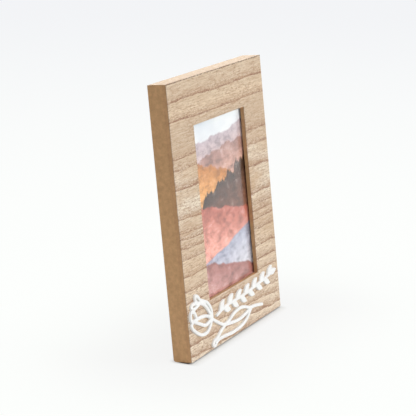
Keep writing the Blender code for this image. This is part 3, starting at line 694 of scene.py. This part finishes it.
# Eased edges: how far each is rounded over, and how long an edge must be to count as one of the outline
WELD_GAP = 0.001 * MM
FLAT_DEG = 0.5
SHARP_DEG = 40.0
EASE_STEPS = 3
EASE_ROUND = 0.5
BAR_EASE, BAR_EDGE = 0.6 * MM, 30 * MM
SHEET_EASE, SHEET_EDGE = 0.35 * MM, 12 * MM
VENEER_EASE, VENEER_EDGE = 0.12 * MM, 80 * MM
STEEL_EASE, STEEL_EDGE = 0.2 * MM, 0.5 * MM


def eased(node, material, ease=0.0, shortest=0.0, rear_only=False, level_only=False):
    """A CAD node as one welded skin, with its long sharp edges rounded over."""
    rear = panel_box(node)[1].y
    bm = bmesh.new()
    bm.from_mesh(NODES[node].data)
    bmesh.ops.remove_doubles(bm, verts=bm.verts, dist=WELD_GAP)
    bmesh.ops.dissolve_limit(bm, angle_limit=math.radians(FLAT_DEG), verts=bm.verts, edges=bm.edges)
    bmesh.ops.transform(bm, matrix=TO_PANEL, verts=bm.verts)
    chosen = []
    for edge in bm.edges:
        start, end = (vertex.co for vertex in edge.verts)
        span = end - start
        level = min(abs(span.x), abs(span.z)) < WELD_GAP
        at_rear = max(abs(start.y - rear), abs(end.y - rear)) < WELD_GAP
        sharp = edge.is_convex and edge.calc_face_angle(0.0) > math.radians(SHARP_DEG)
        if sharp and span.length > shortest and (level or not level_only) and (at_rear or not rear_only):
            chosen.append(edge)
    if ease:
        bmesh.ops.bevel(bm, geom=chosen, offset=ease, segments=EASE_STEPS, profile=EASE_ROUND,
                        affect="EDGES", clamp_overlap=True)
    bmesh.ops.dissolve_degenerate(bm, dist=WELD_GAP, edges=bm.edges)
    new_piece(node + "_eased", bm, material, node)


# Pan-head screws with a cross recess: facets, then shares of the head's radius and height
SCREW_TURNS = 48
HEAD_RINGS = 14
RIM_SHARE = 0.95
HEAD_EDGE_SHARE = 0.45
HEAD_DROP_SHARE = 0.8
RECESS_REACH_SHARE = 0.62
RECESS_HALF_WIDTH_SHARE = 0.13
RECESS_DEPTH_SHARE = 0.75
RECESS_SLOPE_SHARE = 0.55


def cross_head_screw(node, material):
    """A screw with a pointed shank, a pan head and a cross recess that deepens to the middle."""
    low, high = panel_box(node)
    middle = (low + high) / 2
    points = [(point.y, math.hypot(point.x - middle.x, point.z - middle.z)) for point in panel_points(node)]
    radius = max(far for y, far in points)
    under = min(y for y, far in points if far > RIM_SHARE * radius)
    shank = max(far for y, far in points if y < under - WELD_GAP)
    shank_end = min(y for y, far in points if far > RIM_SHARE * shank)
    height = high.y - under

    def crown(share):
        rise = max(0.0, (share - 1.0 + HEAD_EDGE_SHARE) / HEAD_EDGE_SHARE)
        return high.y - height * HEAD_DROP_SHARE * (1.0 - math.sqrt(1.0 - min(rise, 1.0) ** 2))

    def recess(x, z):
        arm = max(abs(x), abs(z))
        side = min(abs(x), abs(z))
        if side > RECESS_HALF_WIDTH_SHARE or arm > RECESS_REACH_SHARE:
            return 0.0
        return height * RECESS_DEPTH_SHARE * (1.0 - RECESS_SLOPE_SHARE * arm / RECESS_REACH_SHARE)

    angles = [math.tau * turn / SCREW_TURNS for turn in range(SCREW_TURNS)]
    directions = [(math.cos(angle), math.sin(angle)) for angle in angles]
    bm = bmesh.new()
    rings = []
    for index in range(1, HEAD_RINGS + 1):
        share = index / HEAD_RINGS
        ring = []
        for x, z in directions:
            y = crown(share) - recess(share * x, share * z)
            ring.append(bm.verts.new((middle.x + radius * share * x, y, middle.z + radius * share * z)))
        rings.append(ring)
    for y, far in ((under, radius), (under, shank), (shank_end, shank)):
        rings.append([bm.verts.new((middle.x + far * x, y, middle.z + far * z)) for x, z in directions])
    for inner, outer in zip(rings, rings[1:]):
        for turn in range(SCREW_TURNS):
            after = (turn + 1) % SCREW_TURNS
            bm.faces.new((inner[turn], inner[after], outer[after], outer[turn]))
    deepest = bm.verts.new((middle.x, high.y - recess(0.0, 0.0), middle.z))
    tip = bm.verts.new((middle.x, low.y, middle.z))
    for turn in range(SCREW_TURNS):
        after = (turn + 1) % SCREW_TURNS
        bm.faces.new((deepest, rings[0][after], rings[0][turn]))
        bm.faces.new((tip, rings[-1][turn], rings[-1][after]))
    bmesh.ops.recalc_face_normals(bm, faces=bm.faces)
    new_piece(node + "_cross_head", bm, material, node)


# White ornaments: cells of the grid they are made on, the margin round it and the radius of their front edge
ORNAMENT_CELL = 0.30 * MM
ORNAMENT_MARGIN = 3 * ORNAMENT_CELL
ORNAMENT_EDGE = 0.55 * MM
REARWARD = Vector((0.0, 1.0, 0.0))

# How squarely a face must look forward to count as front, or how little to count as wall, and the digits that
# tell points of the grid apart
FACING_SHARE = 0.9
WALL_SHARE = 0.1
KEY_DIGITS = 4

# Weights of the small blur, for a cell, the four beside it and the four at its corners
BLUR_MIDDLE = 4 / 16
BLUR_SIDE = 2 / 16
BLUR_CORNER = 1 / 16


def ornament_trees(node):
    """Front face and walls of a flat CAD ornament as search trees in the panel's frame."""
    points = panel_points(node)
    front = []
    walls = []
    for face in NODES[node].data.polygons:
        normal = TO_PANEL.to_3x3() @ face.normal
        if normal.y < -FACING_SHARE:
            front.append(face.vertices[:])
        elif abs(normal.y) < WALL_SHARE:
            walls.append(face.vertices[:])
    return BVHTree.FromPolygons(points, front), BVHTree.FromPolygons(points, walls)


def softened(field):
    """One pass of a small blur over a grid of depths."""
    result = [line[:] for line in field]
    for row in range(1, len(field) - 1):
        above, here, below = field[row - 1:row + 2]
        for column in range(1, len(here) - 1):
            sides = above[column] + below[column] + here[column - 1] + here[column + 1]
            corners = above[column - 1] + above[column + 1] + below[column - 1] + below[column + 1]
            result[row][column] = BLUR_MIDDLE * here[column] + BLUR_SIDE * sides + BLUR_CORNER * corners
    return result


def ornament_field(node, low, high):
    """Depth inside an ornament's outline on a fine grid, negative outside it, and blurred once."""
    front, walls = ornament_trees(node)
    columns = int((high.x - low.x + 2 * ORNAMENT_MARGIN) / ORNAMENT_CELL) + 1
    rows = int((high.z - low.z + 2 * ORNAMENT_MARGIN) / ORNAMENT_CELL) + 1
    middle = (low.y + high.y) / 2
    field = []
    for row in range(rows):
        line = []
        for column in range(columns):
            x = low.x - ORNAMENT_MARGIN + column * ORNAMENT_CELL
            z = low.z - ORNAMENT_MARGIN + row * ORNAMENT_CELL
            depth = walls.find_nearest(Vector((x, middle, z)))[NEAREST_DISTANCE]
            hit = front.ray_cast(Vector((x, low.y - ORNAMENT_MARGIN, z)), REARWARD)[0]
            line.append(-depth if hit is None else depth)
        field.append(line)
    return softened(field)


def soft_ornament(name, node, material):
    """The ornament with its front edge rounded over and its inner corners softened, on a fine grid."""
    low, high = panel_box(node)
    field = ornament_field(node, low, high)
    bm = bmesh.new()
    made = {}

    def vertex(column, row, depth):
        key = (round(column, KEY_DIGITS), round(row, KEY_DIGITS))
        if key not in made:
            inset = max(0.0, ORNAMENT_EDGE - max(depth, 0.0))
            drop = ORNAMENT_EDGE - math.sqrt(max(ORNAMENT_EDGE ** 2 - inset ** 2, 0.0))
            x = low.x - ORNAMENT_MARGIN + column * ORNAMENT_CELL
            z = low.z - ORNAMENT_MARGIN + row * ORNAMENT_CELL
            made[key] = bm.verts.new((x, low.y + drop, z))
        return made[key]

    for row in range(len(field) - 1):
        for column in range(len(field[0]) - 1):
            places = [(column, row), (column + 1, row), (column + 1, row + 1), (column, row + 1)]
            corners = [(c, r, field[r][c]) for c, r in places]
            if max(depth for c, r, depth in corners) <= 0.0:
                continue
            loop = []
            for (c0, r0, d0), (c1, r1, d1) in zip(corners, corners[1:] + corners[:1]):
                if d0 > 0.0:
                    loop.append(vertex(c0, r0, d0))
                if (d0 > 0.0) != (d1 > 0.0):
                    share = d0 / (d0 - d1)
                    loop.append(vertex(c0 + (c1 - c0) * share, r0 + (r1 - r0) * share, 0.0))
            loop = list(dict.fromkeys(loop))
            if len(loop) > 2:
                bm.faces.new(loop)
    rim = [edge for edge in bm.edges if edge.is_boundary]
    walls = bmesh.ops.extrude_edge_only(bm, edges=rim)
    for item in walls["geom"]:
        if isinstance(item, bmesh.types.BMVert):
            item.co.y = high.y
    base = [edge for edge in bm.edges if edge.is_boundary]
    bmesh.ops.triangle_fill(bm, use_beauty=False, edges=base)
    bmesh.ops.recalc_face_normals(bm, faces=bm.faces)
    new_piece(name, bm, material, node, ORNAMENT_SMOOTH_DEG)


def floor_look():
    """Pale matt floor with a painted contact shadow under the frame; farther out it turns into the surround,
    whose colour holds a painted soft shade near the frame.
    """
    look = Look("pale_floor")
    place = look.add("TexCoord").outputs["Object"]
    axes = look.split(place)
    foot_low, foot_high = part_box("bottom_rail")
    aside = look.outside(axes["X"], foot_low[0], foot_high[0])
    along = look.outside(axes["Y"], foot_low[1], foot_high[1])
    under = look.outside(axes["Y"], foot_low[1], foot_high[1] - FLOOR_UNDER_SETBACK)
    reach = look.diagonal(aside, along)
    close = look.diagonal(look.math("MULTIPLY", aside, FLOOR_SIDE_FALL), under)
    uneven = look.span(look.noise(place, *FLOOR_UNEVEN_NOISE), *NOISE_RANGE, *FLOOR_UNEVEN_TONE)
    # Painted contact shadow: the floor's own colour turns dark under the foot
    tone = look.product(uneven, look.span(close, 0.0, FLOOR_PAINTED_SHADOW_REACH))
    look.set({
        "Base Color": look.mix(tone, FLOOR_PAINTED_SHADOW_COLOUR, FLOOR_COLOUR),
        "Roughness": FLOOR_ROUGHNESS,
        "Specular IOR Level": FLOOR_GLOSS,
    })
    far = look.span(reach, FLOOR_LIT_REACH, FLOOR_FAR_REACH, shape="SMOOTHSTEP")
    near = look.span(reach, 0.0, FLOOR_SHADE_REACH, shape="SMOOTHSTEP")
    bright = look.add("Emission")
    # Painted soft shade: the surround's colour is a little darker near the frame
    surround_with_painted_shade = look.mix(near, FLOOR_SHADE_COLOUR, BACKGROUND_NEAR)
    look.feed(bright.inputs["Color"], look.mix(far, surround_with_painted_shade, BACKGROUND_FAR))
    clear_of_foot = look.span(close, 0.0, FLOOR_CONTACT_REACH)
    share = look.span(reach, FLOOR_LIT_REACH, FLOOR_WHITE_REACH, FLOOR_NEAR_SHARE, 1.0, "SMOOTHSTEP")
    factor = look.product(clear_of_foot, share, look.shown())
    look.choose(factor, look.shader.outputs[0], bright.outputs[0], "Material Output")
    return look.material


def build_floor():
    bm = bmesh.new()
    bmesh.ops.create_circle(bm, cap_ends=True, segments=FLOOR_SIDES, radius=FLOOR_RADIUS)
    mesh = bpy.data.meshes.new("floor")
    bm.to_mesh(mesh)
    bm.free()
    mesh.materials.append(floor_look())
    floor = bpy.data.objects.new("floor", mesh)
    bpy.context.scene.collection.objects.link(floor)


def build_world():
    """Even light from all round, and a near-white surround for the camera."""
    world = bpy.data.worlds.new("surround")
    world.use_nodes = True
    bpy.context.scene.world = world
    nodes = Nodes(world.node_tree)
    lit = world.node_tree.nodes["Background"]
    nodes.feed(lit.inputs["Color"], WHITE)
    nodes.feed(lit.inputs["Strength"], WORLD_STRENGTH)
    seen = nodes.add("Background")
    nodes.feed(seen.inputs["Color"], BACKGROUND_FAR)
    nodes.choose(nodes.shown(), lit.outputs[0], seen.outputs[0], "World Output")


def build_lamps():
    """Square softboxes that face the object; the rear one only adds sheen."""
    for name, place, width, power, colour, lights_matt in LAMPS:
        data = bpy.data.lights.new(name, "AREA")
        data.shape = "SQUARE"
        data.size = width
        data.energy = power
        data.color = colour
        lamp = bpy.data.objects.new(name, data)
        bpy.context.scene.collection.objects.link(lamp)
        lamp.location = place
        lamp.rotation_euler = (LAMP_AIM - Vector(place)).to_track_quat("-Z", "Y").to_euler()
        lamp.visible_camera = False
        lamp.visible_diffuse = lights_matt


def build_camera():
    azimuth = math.radians(CAMERA_AZIMUTH_DEG)
    elevation = math.radians(CAMERA_ELEVATION_DEG)
    level = math.cos(elevation)
    back = Vector((math.sin(azimuth) * level, -math.cos(azimuth) * level, math.sin(elevation)))
    data = bpy.data.cameras.new("camera")
    data.lens = CAMERA_LENS_MM
    camera = bpy.data.objects.new("camera", data)
    bpy.context.scene.collection.objects.link(camera)
    camera.location = CAMERA_AIM + back * CAMERA_DISTANCE
    camera.rotation_euler = (-back).to_track_quat("-Z", "Y").to_euler()
    bpy.context.scene.camera = camera


def named(*parts):
    """Names of the nodes that start with any of these parts."""
    return [node for node in sorted(NODES) if node.startswith(parts)]


def build_looks():
    """Finishes for every node, and the finer pieces that stand for some of them."""
    bars = fibreboard_look("bar_fibreboard", BAR_COLOURS)
    board = fibreboard_look("front_fibreboard", FRONT_COLOURS)
    dark = fibreboard_look("backing_hardboard", BACKING_COLOURS, screened=True)
    zinc = steel_look("zinc_steel", ZINC_PLATE)
    dull = steel_look("button_steel", BUTTON_PLATE)
    white = paint_look()
    finish_nodes(["picture_print"], print_look())
    finish_nodes(named("filler_card"), card_look())
    finish_nodes(named("v_nail"), zinc)
    for node in ("left_stile", "right_stile", "top_rail", "bottom_rail"):
        eased(node, bars, BAR_EASE, BAR_EDGE, rear_only=True, level_only=True)
    eased("front_board", board)
    eased("face_veneer", veneer_look(), VENEER_EASE, VENEER_EDGE)
    eased("glass_pane", glass_look())
    eased("backing_board", dark, SHEET_EASE, SHEET_EDGE, rear_only=True)
    eased("strut", dark, SHEET_EASE, SHEET_EDGE)
    for node in named("hinge", "board_rivet", "strut_rivet"):
        eased(node, zinc)
    for node in named("turn_button"):
        eased(node, dull, STEEL_EASE, STEEL_EDGE, rear_only=True)
    for node in named("button_screw"):
        cross_head_screw(node, zinc)
    soft_ornament("flower_raised", "flower_ornament", white)
    soft_ornament("sprig_raised", "sprig_ornament", white)


bpy.context.scene.view_settings.view_transform = "Standard"
build_floor()
build_world()
build_lamps()
build_camera()
build_looks()
